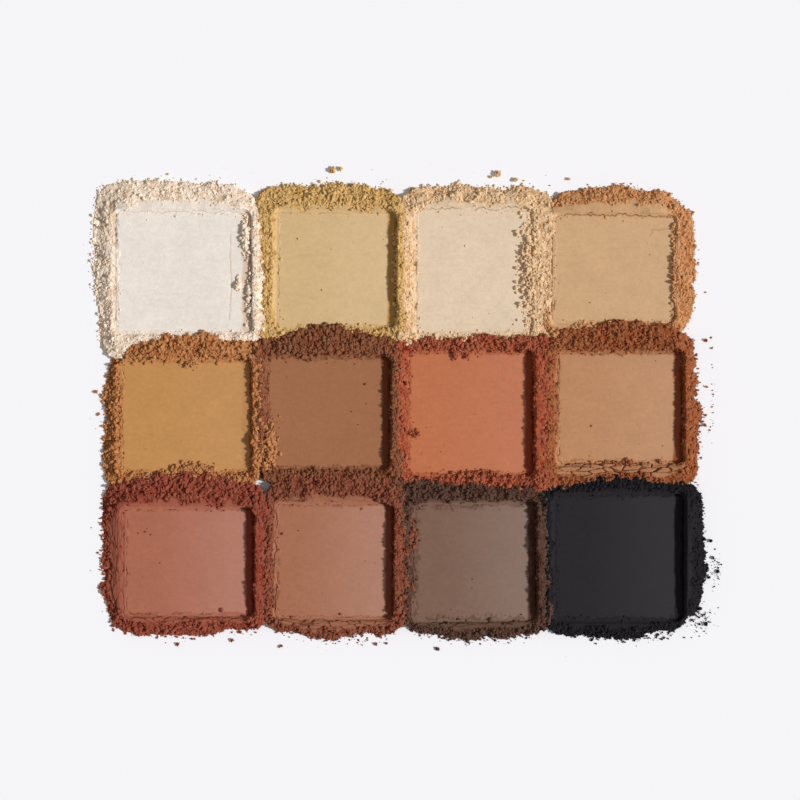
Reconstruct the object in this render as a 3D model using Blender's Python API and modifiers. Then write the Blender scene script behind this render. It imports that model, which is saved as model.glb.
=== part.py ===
"""Twelve pressed eyeshadow squares laid edge to edge, each a flat cake of powder inside the
crumbly rim that the press pushed up round it, with a few loose crumbs beside them."""

import math
import random

import bmesh
import bpy
from mathutils import Matrix, Vector

MM = 0.001

# Heights above the surface that the powder lies on
CAKE_THICKNESS = 1.1 * MM
LIP_HEIGHT = 1.35 * MM

# Height of a rim's outer foot on the outside of the layout, on the +X, +Y, -X and -Y side
OUTSIDE_FOOT_HEIGHTS = (0.35 * MM, 0.35 * MM, 0.15 * MM, 0.35 * MM)

# Height of the line where two rims meet, as a share of the crest beside it that is higher:
# the left shade's +X crest between columns, and the lower shade's +Y crest between rows
RIDGE_SHARE = 0.84
VALLEY_SHARE = 0.78
LOW_SIDE_FOOT_SHARE = 0.95

# Plan of one cake
CAKE_CORNER_RADIUS = 0.9 * MM
CAKE_EDGE_BEVEL = 0.2 * MM
RIM_CORNER_RADIUS = 1.2 * MM

# Radius of a rim's outer corner, by how many of its two sides lie on the outside of the layout
OUTER_CORNER_RADII = (2.2 * MM, 3.6 * MM, 5.2 * MM)

# How far a rim's inner wall leans back, on its +X, +Y, -X and -Y side
WALL_LEANS = (0.3 * MM, 0.7 * MM, 1.1 * MM, 0.6 * MM)

# Gaps between pieces that touch
CAKE_TO_RIM_GAP = 0.3 * MM
RIM_TO_RIM_GAP = 0.3 * MM

# How a rim is divided round its length, and the shape of its section as shares of its width
SIDE_STEPS = 12
CORNER_STEPS = 3
SECTION_POINTS = 6
LIP_AT = 0.04
STEEPEST_WALL_AT = 0.12
WIDEST_WALL_AT = 0.42
SHOULDER_AT = 0.62
FOOT_AT = 0.97
SHOULDER_SHARE = 0.58
CREST_UNEVENNESS = 0.14
NARROW_RIM_SHARE = 0.9
FULL_CREST_WIDTH = 3.0 * MM

# Waviness of the lines along which the rims break or meet
WAVE_HEIGHT = 0.22 * MM
WAVE_LENGTHS = (11.3 * MM, 6.1 * MM)
SETTLING_PASSES = 4

# Seeds of the parts that differ from piece to piece
CREST_SEED = 40
ROW_LINE_SEED = 100
COLUMN_LINE_SEED = 200
CRUMB_SEED = 500

ROWS = (
    ("ivory", "khaki", "cream", "camel"),
    ("ochre", "cocoa", "coral", "fawn"),
    ("brick", "sienna", "taupe", "black"),
)

# Height in mm of each rim's crest, on its +X, +Y, -X and -Y side
CRESTS = {
    "ivory": (2.0, 2.2, 1.5, 1.6),
    "khaki": (2.55, 2.3, 1.75, 1.6),
    "cream": (2.3, 2.3, 1.75, 1.6),
    "camel": (1.9, 2.3, 1.75, 1.6),
    "ochre": (2.5, 2.45, 1.6, 1.75),
    "cocoa": (2.7, 2.45, 1.75, 1.75),
    "coral": (2.8, 2.45, 1.75, 1.8),
    "fawn": (2.55, 2.5, 1.75, 1.7),
    "brick": (2.7, 2.4, 1.6, 1.7),
    "sienna": (2.7, 2.3, 1.75, 1.7),
    "taupe": (2.6, 2.3, 1.75, 1.6),
    "black": (2.4, 2.2, 1.8, 1.8),
}

# Each cake's left, right, top and bottom edge and its twist in degrees
CAKES = {
    "ivory": (-52.2, -27.8, 36.4, 14.6, 0.3),
    "khaki": (-22.4, -0.8, 36.6, 15.8, -0.4),
    "cream": (3.4, 24.0, 36.9, 14.4, 0.2),
    "camel": (28.9, 50.9, 35.7, 16.5, -0.6),
    "ochre": (-51.4, -27.7, 9.0, -11.3, 0.2),
    "cocoa": (-24.3, -1.9, 9.6, -10.6, -0.4),
    "coral": (2.0, 24.7, 10.5, -11.8, 0.5),
    "fawn": (29.6, 52.4, 10.5, -9.6, 0.0),
    "brick": (-50.7, -27.2, -18.5, -37.9, -0.4),
    "sienna": (-22.6, -1.3, -17.6, -38.5, -0.6),
    "taupe": (2.8, 25.2, -17.6, -38.9, 0.5),
    "black": (29.2, 52.5, -15.9, -38.8, -0.3),
}

# The lines between rows, from the top edge down, each through nine heights across the width
ROW_LINE_X = (-56.0, -40.0, -26.0, -13.0, 0.3, 13.0, 27.5, 40.0, 56.0)
ROW_LINES = (
    (42.4, 42.6, 41.3, 42.2, 41.2, 41.8, 40.9, 41.8, 39.4),
    (9.2, 13.1, 12.0, 14.5, 11.8, 12.9, 12.6, 15.2, 13.5),
    (-14.2, -12.3, -13.9, -11.9, -13.4, -14.0, -14.8, -12.8, -14.1),
    (-41.8, -42.1, -40.9, -42.7, -41.3, -42.7, -41.9, -42.6, -40.2),
)

# The lines between columns, from the left edge across, each at the top, middle and foot of its row
COLUMN_LINE_Y = ((42.0, 27.0, 13.0), (12.0, -1.0, -13.0), (-15.0, -28.0, -41.0))
COLUMN_LINES = (
    ((-57.0, -57.0, -55.8), (-26.8, -25.1, -25.5), (0.5, 0.6, 0.6), (27.6, 27.8, 27.6),
     (54.4, 55.4, 53.6)),
    ((-54.6, -55.0, -54.8), (-26.2, -26.0, -25.6), (-0.2, -0.4, -0.4), (27.8, 27.8, 27.3),
     (54.6, 55.9, 55.3)),
    ((-55.4, -55.2, -54.2), (-24.4, -24.4, -24.6), (-0.2, 1.4, 0.8), (26.7, 27.3, 27.9),
     (56.6, 57.0, 55.4)),
)

# Loose crumbs: shade, place and size across
CRUMBS = (
    ("khaki", -12.2, 44.6, 1.5),
    ("khaki", -10.9, 44.9, 1.0),
    ("cream", 18.4, 44.0, 1.5),
    ("cream", 21.7, 42.9, 1.2),
    ("cream", 17.1, 43.4, 0.8),
    ("camel", 31.5, 43.0, 0.8),
    ("ivory", -43.0, 43.9, 0.7),
    ("ochre", -56.4, 3.3, 0.9),
    ("ochre", -56.1, -0.8, 0.7),
    ("fawn", 57.2, 12.9, 0.8),
    ("fawn", 57.3, 4.3, 0.7),
    ("fawn", 57.0, -2.8, 0.8),
    ("black", 58.1, -24.4, 0.9),
    ("black", 58.5, -27.6, 0.8),
    ("black", 57.7, -31.2, 0.9),
    ("brick", -41.2, -43.6, 0.8),
    ("brick", -31.2, -42.9, 0.8),
    ("sienna", -22.1, -44.0, 0.8),
    ("sienna", -4.3, -43.6, 0.8),
    ("taupe", 7.1, -44.4, 0.8),
)
CRUMB_FLATNESS = 0.62
CRUMB_ROUGHNESS = 0.2

# Colour of each shade's pressed face, as linear red, green and blue
PRESSED_COLOURS = {
    "ivory": (0.82, 0.74, 0.67),
    "khaki": (0.63, 0.45, 0.25),
    "cream": (0.75, 0.59, 0.42),
    "camel": (0.61, 0.38, 0.20),
    "ochre": (0.52, 0.25, 0.09),
    "cocoa": (0.34, 0.14, 0.07),
    "coral": (0.52, 0.18, 0.09),
    "fawn": (0.50, 0.27, 0.14),
    "brick": (0.41, 0.15, 0.10),
    "sienna": (0.40, 0.18, 0.11),
    "taupe": (0.23, 0.15, 0.11),
    "black": (0.03, 0.025, 0.03),
}

# Colour of each shade's broken powder, deeper than its pressed face
CRUMBLED_COLOURS = {
    "ivory": (0.90, 0.76, 0.61),
    "khaki": (0.64, 0.37, 0.14),
    "cream": (0.78, 0.53, 0.31),
    "camel": (0.58, 0.27, 0.11),
    "ochre": (0.37, 0.14, 0.04),
    "cocoa": (0.19, 0.06, 0.025),
    "coral": (0.37, 0.09, 0.045),
    "fawn": (0.29, 0.085, 0.03),
    "brick": (0.24, 0.055, 0.03),
    "sienna": (0.20, 0.055, 0.03),
    "taupe": (0.09, 0.04, 0.025),
    "black": (0.026, 0.023, 0.027),
}
POWDER_ROUGHNESS = 0.85


def clear_scene():
    for thing in list(bpy.data.objects):
        bpy.data.objects.remove(thing, do_unlink=True)


def powder_material(name, colour):
    material = bpy.data.materials.new(name)
    material.use_nodes = True
    shader = material.node_tree.nodes["Principled BSDF"]
    shader.inputs["Base Color"].default_value = (*colour, 1.0)
    shader.inputs["Roughness"].default_value = POWDER_ROUGHNESS
    shader.inputs["Metallic"].default_value = 0.0
    material.diffuse_color = (*colour, 1.0)
    return material


def smooth_between(places, heights, at):
    """The height at a place, on a curve that runs level through each given point."""
    if at <= places[0]:
        return heights[0]
    for left, right, low, high in zip(places, places[1:], heights, heights[1:]):
        if at <= right:
            share = (at - left) / (right - left)
            return low + (high - low) * (1.0 - math.cos(math.pi * share)) / 2.0
    return heights[-1]


def wave(seed, at):
    """A gentle waviness, different for each seed."""
    source = random.Random(seed)
    total = 0.0
    for length in WAVE_LENGTHS:
        total += math.sin(2.0 * math.pi * at / length + source.uniform(0.0, 2.0 * math.pi))
    return WAVE_HEIGHT * total / len(WAVE_LENGTHS)


def row_line(number, x):
    places = [place * MM for place in ROW_LINE_X]
    heights = [height * MM for height in ROW_LINES[number]]
    return smooth_between(places, heights, x) + wave(ROW_LINE_SEED + number, x)


def column_line(row, number, y):
    downward = [-place * MM for place in COLUMN_LINE_Y[row]]
    across = [place * MM for place in COLUMN_LINES[row][number]]
    return smooth_between(downward, across, -y) + wave(COLUMN_LINE_SEED + 10 * row + number, y)


def rounded_square(radii):
    """Points round a square that reaches from -1 to 1.

    The radii are each corner's quarter-ellipse, in X and in Y, anticlockwise from the +X +Y corner.
    """
    points = []
    for turn in range(4):
        across, along = radii[turn] if turn % 2 == 0 else radii[turn][::-1]
        along_before = radii[turn - 1][1 - turn % 2]
        for step in range(SIDE_STEPS):
            run = 2.0 - along - along_before
            points.append(turned(1.0, along_before - 1.0 + run * step / SIDE_STEPS, turn))
        for step in range(CORNER_STEPS):
            angle = math.pi / 2.0 * step / CORNER_STEPS
            x = 1.0 - across + across * math.cos(angle)
            y = 1.0 - along + along * math.sin(angle)
            points.append(turned(x, y, turn))
    return points


def by_side(values):
    """One value for each point of a rounded square, blended round its corners from side to side."""
    spread = []
    for value, following in zip(values, values[1:] + values[:1]):
        spread.extend([value] * SIDE_STEPS)
        for step in range(CORNER_STEPS):
            spread.append(value + (following - value) * step / CORNER_STEPS)
    return spread


def outside_sides(row, column):
    """Whether each side of a shade, from +X anticlockwise, lies on the outside of the layout."""
    return (column == len(ROWS[0]) - 1, row == 0, column == 0, row == len(ROWS) - 1)


def turned(x, y, quarters):
    for _ in range(quarters):
        x, y = -y, x
    return x, y


def territory_point(row, column, s, t):
    """Where a point of the -1 to 1 square lies between the lines round one shade."""
    half_gap = RIM_TO_RIM_GAP / 2.0
    left, right, top, bottom = (value * MM for value in CAKES[ROWS[row][column]][:4])
    x = (left + right) / 2.0
    y = (top + bottom) / 2.0
    for _ in range(SETTLING_PASSES):
        west = column_line(row, column, y) + half_gap
        east = column_line(row, column + 1, y) - half_gap
        x = west + (east - west) * (s + 1.0) / 2.0
        south = row_line(row + 1, x) + half_gap
        north = row_line(row, x) - half_gap
        y = south + (north - south) * (t + 1.0) / 2.0
    return Vector((x, y, 0.0))


def cake_frame(name):
    """The cake's centre, half its width and depth, and its twist."""
    left, right, top, bottom = (value * MM for value in CAKES[name][:4])
    centre = Vector(((left + right) / 2.0, (top + bottom) / 2.0, 0.0))
    return centre, (right - left) / 2.0, (top - bottom) / 2.0, math.radians(CAKES[name][4])


def outline_inside(name):
    """The rim's inner outline, just clear of its cake."""
    centre, half_x, half_y, twist = cake_frame(name)
    half_x += CAKE_TO_RIM_GAP
    half_y += CAKE_TO_RIM_GAP
    spin = Matrix.Rotation(twist, 3, "Z")
    radii = [(RIM_CORNER_RADIUS / half_x, RIM_CORNER_RADIUS / half_y)] * 4
    return [
        centre + spin @ Vector((s * half_x, t * half_y, 0.0)) for s, t in rounded_square(radii)
    ]


def outline_outside(row, column):
    _, half_x, half_y, _ = cake_frame(ROWS[row][column])
    outside = outside_sides(row, column)
    radii = []
    for side in range(4):
        radius = OUTER_CORNER_RADII[outside[side] + outside[(side + 1) % 4]]
        radii.append((radius / half_x, radius / half_y))
    return [territory_point(row, column, s, t) for s, t in rounded_square(radii)]


def rim_section(inner, outer, crest, lean, foot):
    """Six points across the rim: inner foot, lip, crest, shoulder, outer foot and outer base."""
    wall_at = min(max(lean / (outer - inner).length, STEEPEST_WALL_AT), WIDEST_WALL_AT)
    shoulder = foot + (crest - foot) * SHOULDER_SHARE
    shares = (0.0, LIP_AT, wall_at, SHOULDER_AT, FOOT_AT, 1.0)
    heights = (0.0, LIP_HEIGHT, crest, shoulder, foot, 0.0)
    for share, height in zip(shares, heights):
        yield inner.lerp(outer, share) + Vector((0.0, 0.0, height))


def uneven_crests(name, seed):
    """Crest heights round the rim that rise and fall without a step between neighbours."""
    source = random.Random(seed)
    even = by_side(tuple(height * MM for height in CRESTS[name]))
    rough = [source.uniform(-1.0, 1.0) for _ in even]
    crests = []
    for place, height in enumerate(even):
        mean = (rough[place - 1] + 2.0 * rough[place] + rough[(place + 1) % len(rough)]) / 4.0
        crests.append(height * (1.0 + CREST_UNEVENNESS * mean))
    return crests


def crest_share(width):
    """A narrow rim stands lower than a wide one."""
    return min(1.0, NARROW_RIM_SHARE + (1.0 - NARROW_RIM_SHARE) * width / FULL_CREST_WIDTH)


def foot_heights(row, column):
    """A rim runs out almost to nothing on the outside, and stands against its neighbours elsewhere."""
    east, north, _, south = (height * MM for height in CRESTS[ROWS[row][column]])
    ridge_to_the_west = CRESTS[ROWS[row][column - 1]][0] * MM
    shared = (
        east * RIDGE_SHARE,
        north * VALLEY_SHARE,
        ridge_to_the_west * RIDGE_SHARE,
        south * LOW_SIDE_FOOT_SHARE,
    )
    feet = []
    for free, alone, beside in zip(outside_sides(row, column), OUTSIDE_FOOT_HEIGHTS, shared):
        feet.append(alone if free else beside)
    return by_side(tuple(feet))


def make_rim(row, column, collection):
    name = ROWS[row][column]
    inside = outline_inside(name)
    outside = outline_outside(row, column)
    crests = uneven_crests(name, CREST_SEED + 4 * row + column)
    leans = by_side(WALL_LEANS)
    feet = foot_heights(row, column)
    bpy.ops.mesh.primitive_torus_add(
        major_segments=len(inside), minor_segments=SECTION_POINTS, major_radius=1.0, minor_radius=0.2
    )
    rim = bpy.context.object
    rim.name = f"{name}_rim"
    rim.data.name = rim.name
    for place, (inner, outer) in enumerate(zip(inside, outside)):
        crest = crests[place] * crest_share((outer - inner).length)
        section = rim_section(inner, outer, crest, leans[place], feet[place])
        for step, point in enumerate(section):
            rim.data.vertices[place * SECTION_POINTS + step].co = point
    face_outward(rim.data)
    finish(rim, CRUMBLED_COLOURS[name], collection)


def face_outward(mesh):
    work = bmesh.new()
    work.from_mesh(mesh)
    bmesh.ops.recalc_face_normals(work, faces=work.faces)
    if work.calc_volume(signed=True) < 0.0:
        bmesh.ops.reverse_faces(work, faces=work.faces)
    work.to_mesh(mesh)
    work.free()


def make_cake(name, collection):
    centre, half_x, half_y, twist = cake_frame(name)
    bpy.ops.mesh.primitive_cube_add(size=1.0)
    cake = bpy.context.object
    cake.name = f"{name}_cake"
    cake.data.name = cake.name
    size = Matrix.Diagonal((2.0 * half_x, 2.0 * half_y, CAKE_THICKNESS, 1.0))
    lift = Matrix.Translation((0.0, 0.0, CAKE_THICKNESS / 2.0))
    cake.data.transform(lift @ size)
    round_upright_edges(cake.data)
    cake.location = centre
    cake.rotation_euler = (0.0, 0.0, twist)
    bevel = cake.modifiers.new("worn_edge", "BEVEL")
    bevel.width = CAKE_EDGE_BEVEL
    bevel.segments = 2
    bevel.limit_method = "ANGLE"
    bevel.angle_limit = math.radians(60.0)
    finish(cake, PRESSED_COLOURS[name], collection)


def round_upright_edges(mesh):
    work = bmesh.new()
    work.from_mesh(mesh)
    upright = [edge for edge in work.edges if is_upright(edge)]
    bmesh.ops.bevel(
        work, geom=upright, offset=CAKE_CORNER_RADIUS, segments=3, profile=0.5, affect="EDGES"
    )
    work.to_mesh(mesh)
    work.free()


def is_upright(edge):
    first, second = (vertex.co for vertex in edge.verts)
    return (first - second).xy.length < 0.01 * MM


def make_crumb(number, shade, x, y, across, collection):
    source = random.Random(CRUMB_SEED + number)
    bpy.ops.mesh.primitive_ico_sphere_add(subdivisions=2, radius=across * MM / 2.0)
    crumb = bpy.context.object
    crumb.name = f"{shade}_crumb_{number}"
    crumb.data.name = crumb.name
    stretch = Vector((source.uniform(0.85, 1.25), source.uniform(0.8, 1.1), CRUMB_FLATNESS))
    for vertex in crumb.data.vertices:
        rough = 1.0 + source.uniform(-CRUMB_ROUGHNESS, CRUMB_ROUGHNESS)
        vertex.co = vertex.co * stretch * rough
    lowest = min(vertex.co.z for vertex in crumb.data.vertices)
    crumb.data.transform(Matrix.Translation((0.0, 0.0, -lowest)))
    crumb.location = (x * MM, y * MM, 0.0)
    crumb.rotation_euler = (0.0, 0.0, source.uniform(0.0, math.pi))
    finish(crumb, CRUMBLED_COLOURS[shade], collection)


def finish(thing, colour, collection):
    """Gives a piece its material and smooth shading and puts it in the collection."""
    thing.data.materials.clear()
    thing.data.materials.append(powder_material(thing.name, colour))
    thing.data.shade_smooth()
    for other in list(thing.users_collection):
        other.objects.unlink(thing)
    collection.objects.link(thing)


def centre_on_origin(collection):
    """Moves every piece by the same amount, so that the whole plan is centred on the origin."""
    bpy.context.view_layer.update()
    points = []
    for thing in collection.objects:
        points.extend(thing.matrix_world @ vertex.co for vertex in thing.data.vertices)
    middle_x = (min(point.x for point in points) + max(point.x for point in points)) / 2.0
    middle_y = (min(point.y for point in points) + max(point.y for point in points)) / 2.0
    for thing in collection.objects:
        thing.location -= Vector((middle_x, middle_y, 0.0))


def main():
    clear_scene()
    collection = bpy.data.collections.new("eyeshadow_palette")
    bpy.context.scene.collection.children.link(collection)
    for row, names in enumerate(ROWS):
        for column, name in enumerate(names):
            make_cake(name, collection)
            make_rim(row, column, collection)
    for number, crumb in enumerate(CRUMBS, start=1):
        make_crumb(number, *crumb, collection)
    centre_on_origin(collection)


main()
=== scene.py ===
import math
from typing import NamedTuple

import bmesh
import bpy
import numpy as np
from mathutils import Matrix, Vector
from mathutils.bvhtree import BVHTree


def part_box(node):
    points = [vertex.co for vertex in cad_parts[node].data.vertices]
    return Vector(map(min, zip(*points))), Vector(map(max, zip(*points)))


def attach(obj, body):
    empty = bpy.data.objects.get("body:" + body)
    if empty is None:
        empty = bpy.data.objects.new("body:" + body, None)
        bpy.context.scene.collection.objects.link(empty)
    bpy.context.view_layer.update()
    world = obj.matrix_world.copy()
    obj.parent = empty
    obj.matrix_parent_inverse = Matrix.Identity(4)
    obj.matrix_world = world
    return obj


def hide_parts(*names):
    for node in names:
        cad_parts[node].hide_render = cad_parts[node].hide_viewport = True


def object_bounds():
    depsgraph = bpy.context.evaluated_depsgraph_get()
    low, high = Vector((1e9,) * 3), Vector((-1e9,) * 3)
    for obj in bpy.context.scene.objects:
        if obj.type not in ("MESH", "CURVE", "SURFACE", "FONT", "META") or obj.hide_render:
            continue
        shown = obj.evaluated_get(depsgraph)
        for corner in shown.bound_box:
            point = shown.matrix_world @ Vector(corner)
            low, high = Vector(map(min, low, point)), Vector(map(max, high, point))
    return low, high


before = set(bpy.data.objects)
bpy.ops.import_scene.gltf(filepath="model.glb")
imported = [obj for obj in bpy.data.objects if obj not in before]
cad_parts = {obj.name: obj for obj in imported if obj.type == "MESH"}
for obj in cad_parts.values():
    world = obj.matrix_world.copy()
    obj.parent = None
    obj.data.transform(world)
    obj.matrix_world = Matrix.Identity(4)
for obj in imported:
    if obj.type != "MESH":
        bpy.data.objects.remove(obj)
CAD_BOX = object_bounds()

MM = 0.001

# Side by side: the +X, +Y, -X and -Y side of a shade
SIDES = np.array(((1.0, 0.0), (0.0, 1.0), (-1.0, 0.0), (0.0, -1.0)))


class Shade(NamedTuple):
    """One powder: its linear colours, and how the press left its rim on each side.

    painted_sheen is how much paler the pressed face is painted towards +X, a painted sheen from the key
    light. relief is how rough the broken powder is. burnished is how much the smooth part of the rim
    takes the face's colour. depth is how much stronger the colour of the painted shade gets in the
    gaps. dusted is how far in from its edge the face is dusted.
    steep is how steeply the rim rises from the face on the +X side. over and beside are how much
    further the rim runs over its neighbours on the +Y and +X side. smooth is the share of the rim's
    width next to the face that was pressed smooth, and creased is how strongly that part has flaked.
    cracked is how far the pressed face has come away from the rim. worn is how much lower than the
    CAD the crest lies.
    """

    pressed: tuple
    crumbled: tuple
    painted_sheen: float
    relief: float = 1.0
    burnished: float = 0.7
    depth: float = 0.65
    dusted: float = 0.5 * MM
    steep: float = 1.0
    over: float = 0.6 * MM
    beside: float = 0.0
    smooth: tuple = (0.0, 0.0, 0.0, 0.0)
    creased: tuple = (0.0, 0.0, 0.0, 0.0)
    cracked: tuple = (0.0, 0.0, 0.0, 0.0)
    worn: tuple = (0.0, 0.0, 0.0, 0.0)


SHADES = {
    "ivory": Shade(
        (0.82, 0.755, 0.69), (0.875, 0.755, 0.63), 0.0, relief=0.4, depth=1.6, dusted=0.2 * MM,
        steep=0.8, smooth=(0, 0.3, 0, 0), cracked=(0, 0.4, 0, 0), worn=(0.1, 0, 0.3, 0)
    ),
    "khaki": Shade(
        (0.67, 0.48, 0.25), (0.67, 0.45, 0.185), 0.045, relief=0.7, steep=0.85,
        smooth=(0, 0.05, 0.2, 0)
    ),
    "cream": Shade(
        (0.785, 0.635, 0.47), (0.79, 0.58, 0.365), 0.015, relief=0.6, depth=0.8, dusted=0.3 * MM,
        steep=0.0, beside=0.9 * MM,
        smooth=(0, 0.25, 0, 0), cracked=(0, 0.7, 0, 0), worn=(0.5, 0, 0, 0)
    ),
    "camel": Shade(
        (0.67, 0.44, 0.24), (0.63, 0.33, 0.15), 0.01, relief=0.65, dusted=0.3 * MM, steep=0.7,
        smooth=(0.1, 0.4, 1.2, 0), cracked=(0, 1, 0, 0), worn=(0.5, 0, 0.55, 0)
    ),
    "ochre": Shade(
        (0.55, 0.28, 0.095), (0.51, 0.232, 0.09), 0.02, dusted=0.7 * MM, over=1.15 * MM,
        worn=(0.2, 0, 0.3, 0)
    ),
    "cocoa": Shade(
        (0.385, 0.165, 0.08), (0.27, 0.105, 0.051), 0.0, dusted=0.9 * MM, over=1.3 * MM
    ),
    "coral": Shade((0.56, 0.19, 0.085), (0.40, 0.113, 0.057), 0.03, dusted=0.8 * MM, over=0.95 * MM),
    "fawn": Shade(
        (0.56, 0.29, 0.145), (0.365, 0.127, 0.051), 0.04, dusted=0.8 * MM, over=1.35 * MM,
        smooth=(0, 0, 0, 0.62), creased=(0, 0, 0, 3.5), cracked=(0, 0, 0, 1)
    ),
    "brick": Shade(
        (0.43, 0.155, 0.094), (0.315, 0.083, 0.049), 0.065, burnished=0.4, dusted=0.8 * MM,
        over=0.95 * MM,
        smooth=(0, 0.15, 0.6, 0.35), creased=(0, 0, 0.6, 1), cracked=(0, 0, 0, 0.6),
        worn=(0, 0, 0.3, 0)
    ),
    "sienna": Shade(
        (0.42, 0.175, 0.10), (0.268, 0.09, 0.05), 0.07, dusted=0.9 * MM, over=0.9 * MM,
        smooth=(0, 0.2, 0.35, 0.5), creased=(0, 0.4, 2, 1.4), cracked=(0, 0, 0.7, 0.5)
    ),
    "taupe": Shade(
        (0.235, 0.135, 0.095), (0.115, 0.059, 0.041), 0.06, burnished=0.3, dusted=2.0 * MM,
        smooth=(0, 0.1, 0, 0.5), creased=(0, 0, 0, 0.8), cracked=(0, 0, 0, 0.7)
    ),
    "black": Shade(
        (0.026, 0.022, 0.026), (0.018, 0.016, 0.019), 0.015, relief=0.8, burnished=0.5,
        dusted=1.2 * MM, over=0.85 * MM,
        smooth=(0.25, 0.25, 0.3, 0.35)
    ),
}
ROWS = (
    ("ivory", "khaki", "cream", "camel"),
    ("ochre", "cocoa", "coral", "fawn"),
    ("brick", "sienna", "taupe", "black"),
)


class Spill(NamedTuple):
    """Crumbs of one shade lying in a patch. Its centre is given from a cake's centre, in half cakes."""

    shade: str
    beside: str
    at: tuple
    reach: tuple
    count: int
    median: float
    on_cake: bool = True


SPILLS = (
    Spill("ochre", "cocoa", (-0.97, -0.62), (1.6 * MM, 4.4 * MM), 300, 0.36 * MM),
    Spill("ochre", "ochre", (0.05, 0.94), (1.5 * MM, 0.6 * MM), 50, 0.3 * MM),
    Spill("ochre", "ochre", (0.08, -0.98), (4.2 * MM, 1.1 * MM), 260, 0.42 * MM),
    Spill("cocoa", "khaki", (-0.1, -1.03), (3.0 * MM, 0.6 * MM), 130, 0.34 * MM),
    Spill("cocoa", "cocoa", (-0.31, 0.94), (1.2 * MM, 0.4 * MM), 18, 0.24 * MM),
    Spill("coral", "coral", (-0.26, 0.96), (0.6 * MM, 0.8 * MM), 34, 0.3 * MM),
    Spill("coral", "coral", (-0.07, 0.96), (0.6 * MM, 0.8 * MM), 34, 0.3 * MM),
    Spill("coral", "coral", (-0.93, -0.32), (0.9 * MM, 1.6 * MM), 30, 0.22 * MM),
    Spill("coral", "coral", (0.1, -1.0), (5.0 * MM, 0.7 * MM), 160, 0.32 * MM),
    Spill("sienna", "taupe", (-1.03, 0.44), (1.2 * MM, 2.8 * MM), 130, 0.36 * MM),
    Spill("sienna", "taupe", (-1.05, -0.42), (0.6 * MM, 0.6 * MM), 14, 0.4 * MM),
    Spill("ivory", "ivory", (0.82, -0.2), (0.5 * MM, 1.8 * MM), 44, 0.34 * MM),
    Spill("ivory", "ivory", (1.0, -0.35), (0.8 * MM, 5.0 * MM), 150, 0.36 * MM),
    Spill("khaki", "khaki", (1.03, 0.0), (0.7 * MM, 9.5 * MM), 200, 0.34 * MM),
    Spill("ivory", "ivory", (0.93, 0.62), (0.9 * MM, 3.6 * MM), 160, 0.42 * MM),
    Spill("cream", "cream", (0.99, 0.1), (1.7 * MM, 9.0 * MM), 460, 0.38 * MM),
    Spill("camel", "camel", (1.0, -0.05), (0.5 * MM, 10.0 * MM), 260, 0.28 * MM),
    Spill("fawn", "fawn", (0.1, -1.06), (8.0 * MM, 0.8 * MM), 120, 0.34 * MM),
    Spill("black", "black", (1.56, -0.22), (0.9 * MM, 3.0 * MM), 60, 0.17 * MM, False),
    Spill("black", "black", (1.3, -0.95), (2.6 * MM, 2.6 * MM), 110, 0.17 * MM, False),
    Spill("black", "black", (0.4, -1.3), (8.0 * MM, 0.9 * MM), 90, 0.2 * MM, False),
    Spill("taupe", "taupe", (0.0, -1.38), (9.0 * MM, 0.9 * MM), 40, 0.2 * MM, False),
    Spill("sienna", "sienna", (0.2, -1.4), (9.0 * MM, 1.0 * MM), 26, 0.2 * MM, False),
    Spill("brick", "brick", (0.3, -1.35), (8.0 * MM, 0.8 * MM), 26, 0.22 * MM, False),
    Spill("fawn", "fawn", (1.52, 0.0), (0.5 * MM, 10.0 * MM), 26, 0.2 * MM, False),
)


class Crack(NamedTuple):
    """A crack across a pressed face, through points given from its centre in half cakes."""

    shade: str
    points: tuple
    depth: float


CRACKS = (
    Crack("ivory", ((0.70, 0.66), (0.69, 0.3), (0.72, -0.2), (0.68, -0.8)), 0.14 * MM),
    Crack("camel", ((0.60, 0.62), (0.63, 0.75), (0.93, 0.77)), 0.07 * MM),
)

# Which corner of a rim stays open, so that the ground shows where four rims meet. Corner n lies
# between side n and the next.
OPEN_CORNER = {"ochre": 3, "cocoa": 2, "sienna": 1, "brick": 0}

# Mesh fineness
RING_STEP = 0.1 * MM
SECTION_STEPS = 58
PANEL_STEP = 0.15 * MM
CRUMBS_PER_RIM = 1950


# -------------------------------- noise

CELL_FACTORS = np.array((73856093, 19349663, 83492791), np.uint64)
SEED_FACTOR = 2654435761
NEXT_FACTOR = np.uint64(6364136223846793005)
NEXT_STEP = np.uint64(1442695040888963407)

# Keeps every cell's number above zero
CELL_OFFSET = 1000.0

# More grain sizes than any point is from its nearest grain
FAR_OFF = 9.0

# Mixes two of a grain's random numbers into the one that stands for it
GRAIN_MIX = (7.31, 3.17)


def hashed(cells, seed):
    """Three even random numbers from 0 to 1 for each whole-numbered cell."""
    spread = cells.astype(np.uint64) * CELL_FACTORS
    mixed = spread[:, 0] ^ spread[:, 1] ^ spread[:, 2] ^ np.uint64(seed * SEED_FACTOR % 2**63)
    out = np.empty((len(cells), 3))
    for axis in range(3):
        mixed = mixed * NEXT_FACTOR + NEXT_STEP
        turned = mixed ^ (mixed >> np.uint64(29))
        out[:, axis] = (turned >> np.uint64(11)).astype(np.float64) / 2.0**53
    return out


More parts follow.
